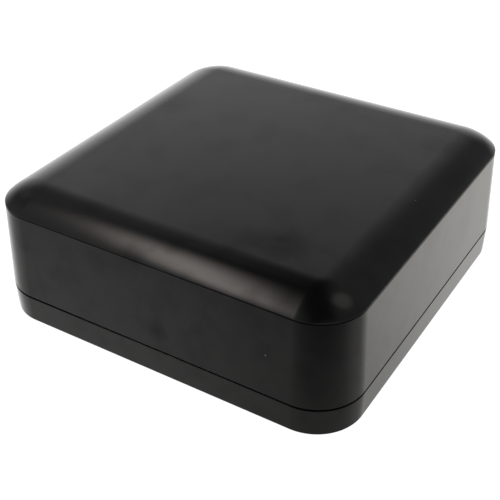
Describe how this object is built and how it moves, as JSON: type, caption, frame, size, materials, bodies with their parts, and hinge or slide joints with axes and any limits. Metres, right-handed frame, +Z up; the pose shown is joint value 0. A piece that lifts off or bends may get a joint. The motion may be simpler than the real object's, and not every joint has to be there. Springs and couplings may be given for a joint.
{
  "type": "mesh wifi node",
  "caption": "Square black desktop radio node with a shallow domed top, rounded corners, slim base, and a rear recess with network and power sockets and a push button.",
  "frame": {"origin": "centre of the plane that the rubber feet stand on, under the middle of the square case", "axes": "+Z up; the ports face +Y, the plain front faces -Y, and +X is to the right when the front is looked at"},
  "size_m": [0.14, 0.14, 0.0506],
  "materials": {
    "case_plastic": "satin black moulded plastic",
    "panel_plastic": "fine matte black moulded plastic",
    "foot_rubber": "matte rubber",
    "label_film": "blank satin film",
    "zinc_steel": "zinc plated",
    "spring_steel": "bright drawn wire",
    "tin_plate": "satin tin plate",
    "sink_aluminium": "extruded, satin",
    "can_aluminium": "drawn can, satin",
    "board_laminate": "green solder mask over glass laminate",
    "chip_resin": "moulded resin",
    "jack_resin": "glass filled resin",
    "gold_plate": "gold plated",
    "thermal_pad": "soft silicone",
    "white_nylon": "natural nylon",
    "light_resin": "clear moulded resin",
    "lead_jacket": "thin coaxial jacket",
    "ceramic_chip": "fired ceramic"
  },
  "bodies": {
    "case": {"top_cover": "case_plastic", "side_shell": "case_plastic", "port_panel": "panel_plastic", "base_pan": "case_plastic", "rubber_feet": "foot_rubber", "label_plate": "label_film", "case_screws": "zinc_steel", "main_board": "board_laminate", "board_screws": "zinc_steel", "processor": "chip_resin", "processor_pad": "thermal_pad", "memory_chips": "chip_resin", "flash_chip": "chip_resin", "radio_chips": "chip_resin", "radio_pads": "thermal_pad", "front_end_chips": "chip_resin", "processor_shield_frame": "tin_plate", "processor_shield_lid": "tin_plate", "radio_shield_frames": "tin_plate", "radio_shield_lids": "tin_plate", "sink_pads": "thermal_pad", "heat_sink": "sink_aluminium", "sink_push_pins": "white_nylon", "sink_springs": "spring_steel", "ethernet_chip": "chip_resin", "ethernet_transformers": "chip_resin", "filter_capacitors": "can_aluminium", "power_inductors": "chip_resin", "crystals": "tin_plate", "setup_radio_board": "board_laminate", "setup_radio_can": "tin_plate", "chip_passives": "ceramic_chip", "wan_jack_shield": "tin_plate", "wan_jack_body": "jack_resin", "wan_jack_contacts": "gold_plate", "lan_jack_shield": "tin_plate", "lan_jack_body": "jack_resin", "lan_jack_contacts": "gold_plate", "power_jack_housing": "jack_resin", "power_jack_pin": "zinc_steel", "power_jack_terminals": "tin_plate", "pair_switch_body": "chip_resin", "reset_switch_body": "chip_resin", "status_light_pipe": "light_resin", "status_led": "white_nylon", "antenna_carrier": "panel_plastic", "carrier_screws": "zinc_steel", "antenna_boards": "board_laminate", "antenna_leads": "lead_jacket", "antenna_plugs": "gold_plate", "antenna_sockets": "gold_plate"},
    "pair_button": {"pair_button": "panel_plastic", "pair_switch_plunger": "white_nylon"},
    "reset_plunger": {"reset_switch_plunger": "white_nylon"}
  },
  "joints": [
    {"name": "pair_press", "type": "slide", "parent": "case", "child": "pair_button", "axis": [0, -1, 0], "range_m": [0, 0.0004], "stiffness_N_per_m": 2000, "springref_m": -0.0002},
    {"name": "reset_press", "type": "slide", "parent": "case", "child": "reset_plunger", "axis": [0, -1, 0], "range_m": [0, 0.00025], "stiffness_N_per_m": 2000, "springref_m": -0.0002}
  ]
}
